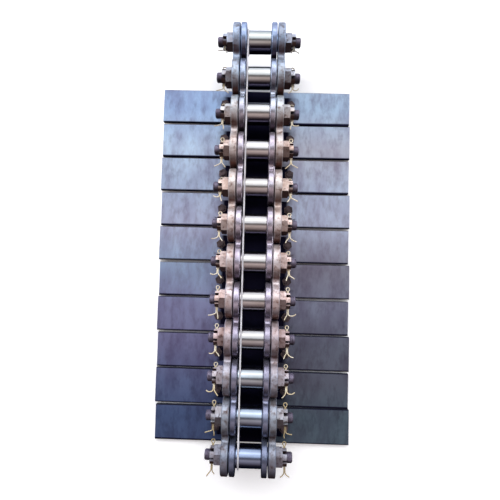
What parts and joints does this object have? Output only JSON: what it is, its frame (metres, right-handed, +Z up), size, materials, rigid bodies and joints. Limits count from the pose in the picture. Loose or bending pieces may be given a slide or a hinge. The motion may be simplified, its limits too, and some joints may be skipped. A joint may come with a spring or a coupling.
{
  "type": "conveyor chain",
  "caption": "Heavy roller conveyor chain with figure-eight link plates, castle-nutted pins and a flat steel slat across each link.",
  "frame": {"origin": "middle of the chain's length and width, on the floor under the slats", "axes": "+X along the pins, +Y along the chain towards the end with the bare link, +Z up from the slats to the rollers"},
  "size_m": [0.4184, 0.9127, 0.1012],
  "materials": {
    "outer_plate_steel": "dark oiled steel, worn bright on the rims",
    "inner_plate_steel": "oiled steel with bright rims",
    "pin_steel": "dark turned steel",
    "bush_steel": "ground steel",
    "roller_steel": "ground and polished steel with oil",
    "nut_steel": "brown oxidised steel",
    "cotter_wire": "pale plated wire",
    "slat_steel": "blue-grey mill-scale steel, mottled",
    "white_cord": "white twisted cord"
  },
  "bodies": {
    "link_01": {"outer_plates_01": "outer_plate_steel", "pins_01": "pin_steel", "castle_nuts_01": "nut_steel", "cotter_pins_01": "cotter_wire"},
    "link_02": {"inner_plates_02": "inner_plate_steel", "bushes_02": "bush_steel", "slat_02": "slat_steel"},
    "link_03": {"outer_plates_03": "outer_plate_steel", "pins_03": "pin_steel", "castle_nuts_03": "nut_steel", "cotter_pins_03": "cotter_wire", "slat_03": "slat_steel"},
    "link_04": {"inner_plates_04": "inner_plate_steel", "bushes_04": "bush_steel", "slat_04": "slat_steel"},
    "link_05": {"outer_plates_05": "outer_plate_steel", "pins_05": "pin_steel", "castle_nuts_05": "nut_steel", "cotter_pins_05": "cotter_wire", "slat_05": "slat_steel"},
    "link_06": {"inner_plates_06": "inner_plate_steel", "bushes_06": "bush_steel", "slat_06": "slat_steel", "tie_cord": "white_cord"},
    "link_07": {"outer_plates_07": "outer_plate_steel", "pins_07": "pin_steel", "castle_nuts_07": "nut_steel", "cotter_pins_07": "cotter_wire", "slat_07": "slat_steel"},
    "link_08": {"inner_plates_08": "inner_plate_steel", "bushes_08": "bush_steel", "slat_08": "slat_steel"},
    "link_09": {"outer_plates_09": "outer_plate_steel", "pins_09": "pin_steel", "castle_nuts_09": "nut_steel", "cotter_pins_09": "cotter_wire", "slat_09": "slat_steel"},
    "link_10": {"inner_plates_10": "inner_plate_steel", "bushes_10": "bush_steel", "slat_10": "slat_steel"},
    "link_11": {"outer_plates_11": "outer_plate_steel", "pins_11": "pin_steel", "castle_nuts_11": "nut_steel", "cotter_pins_11": "cotter_wire", "slat_11": "slat_steel"},
    "roller_01": {"roller_01": "roller_steel"},
    "roller_02": {"roller_02": "roller_steel"},
    "roller_03": {"roller_03": "roller_steel"},
    "roller_04": {"roller_04": "roller_steel"},
    "roller_05": {"roller_05": "roller_steel"},
    "roller_06": {"roller_06": "roller_steel"},
    "roller_07": {"roller_07": "roller_steel"},
    "roller_08": {"roller_08": "roller_steel"},
    "roller_09": {"roller_09": "roller_steel"},
    "roller_10": {"roller_10": "roller_steel"},
    "roller_11": {"roller_11": "roller_steel"},
    "roller_12": {"roller_12": "roller_steel"},
    "end_collar_01": {"end_collar_01": "inner_plate_steel"},
    "end_collar_12": {"end_collar_12": "inner_plate_steel"}
  },
  "joints": [
    {"name": "chain_joint_02", "type": "hinge", "parent": "link_02", "child": "link_01", "pos_m": [0, 0.3429, 0.064], "axis": [1, 0, 0], "range_deg": [-60, 30]},
    {"name": "chain_joint_03", "type": "hinge", "parent": "link_03", "child": "link_02", "pos_m": [0, 0.2667, 0.064], "axis": [1, 0, 0], "range_deg": [-1, 30]},
    {"name": "chain_joint_04", "type": "hinge", "parent": "link_04", "child": "link_03", "pos_m": [0, 0.1905, 0.064], "axis": [1, 0, 0], "range_deg": [-1, 30]},
    {"name": "chain_joint_05", "type": "hinge", "parent": "link_05", "child": "link_04", "pos_m": [0, 0.1143, 0.064], "axis": [1, 0, 0], "range_deg": [-1, 30]},
    {"name": "chain_joint_06", "type": "hinge", "parent": "link_06", "child": "link_05", "pos_m": [0, 0.0381, 0.064], "axis": [1, 0, 0], "range_deg": [-1, 30], "deforming": ["tie_cord"]},
    {"name": "chain_joint_07", "type": "hinge", "parent": "link_06", "child": "link_07", "pos_m": [0, -0.0381, 0.064], "axis": [-1, 0, 0], "range_deg": [-1, 30]},
    {"name": "chain_joint_08", "type": "hinge", "parent": "link_07", "child": "link_08", "pos_m": [0, -0.1143, 0.064], "axis": [-1, 0, 0], "range_deg": [-1, 30]},
    {"name": "chain_joint_09", "type": "hinge", "parent": "link_08", "child": "link_09", "pos_m": [0, -0.1905, 0.064], "axis": [-1, 0, 0], "range_deg": [-1, 30]},
    {"name": "chain_joint_10", "type": "hinge", "parent": "link_09", "child": "link_10", "pos_m": [0, -0.2667, 0.064], "axis": [-1, 0, 0], "range_deg": [-1, 30]},
    {"name": "chain_joint_11", "type": "hinge", "parent": "link_10", "child": "link_11", "pos_m": [0, -0.3429, 0.064], "axis": [-1, 0, 0], "range_deg": [-1, 30]},
    {"name": "roller_spin_01", "type": "hinge", "parent": "end_collar_01", "child": "roller_01", "pos_m": [0, 0.4191, 0.064], "axis": [1, 0, 0], "continuous": true},
    {"name": "roller_spin_02", "type": "hinge", "parent": "link_02", "child": "roller_02", "pos_m": [0, 0.3429, 0.064], "axis": [1, 0, 0], "continuous": true},
    {"name": "roller_spin_03", "type": "hinge", "parent": "link_02", "child": "roller_03", "pos_m": [0, 0.2667, 0.064], "axis": [1, 0, 0], "continuous": true},
    {"name": "roller_spin_04", "type": "hinge", "parent": "link_04", "child": "roller_04", "pos_m": [0, 0.1905, 0.064], "axis": [1, 0, 0], "continuous": true},
    {"name": "roller_spin_05", "type": "hinge", "parent": "link_04", "child": "roller_05", "pos_m": [0, 0.1143, 0.064], "axis": [1, 0, 0], "continuous": true},
    {"name": "roller_spin_06", "type": "hinge", "parent": "link_06", "child": "roller_06", "pos_m": [0, 0.0381, 0.064], "axis": [1, 0, 0], "continuous": true},
    {"name": "roller_spin_07", "type": "hinge", "parent": "link_06", "child": "roller_07", "pos_m": [0, -0.0381, 0.064], "axis": [1, 0, 0], "continuous": true},
    {"name": "roller_spin_08", "type": "hinge", "parent": "link_08", "child": "roller_08", "pos_m": [0, -0.1143, 0.064], "axis": [1, 0, 0], "continuous": true},
    {"name": "roller_spin_09", "type": "hinge", "parent": "link_08", "child": "roller_09", "pos_m": [0, -0.1905, 0.064], "axis": [1, 0, 0], "continuous": true},
    {"name": "roller_spin_10", "type": "hinge", "parent": "link_10", "child": "roller_10", "pos_m": [0, -0.2667, 0.064], "axis": [1, 0, 0], "continuous": true},
    {"name": "roller_spin_11", "type": "hinge", "parent": "link_10", "child": "roller_11", "pos_m": [0, -0.3429, 0.064], "axis": [1, 0, 0], "continuous": true},
    {"name": "roller_spin_12", "type": "hinge", "parent": "end_collar_12", "child": "roller_12", "pos_m": [0, -0.4191, 0.064], "axis": [1, 0, 0], "continuous": true},
    {"name": "end_collar_spin_01", "type": "hinge", "parent": "link_01", "child": "end_collar_01", "pos_m": [0, 0.4191, 0.064], "axis": [1, 0, 0], "continuous": true},
    {"name": "end_collar_spin_12", "type": "hinge", "parent": "link_11", "child": "end_collar_12", "pos_m": [0, -0.4191, 0.064], "axis": [1, 0, 0], "continuous": true}
  ]
}
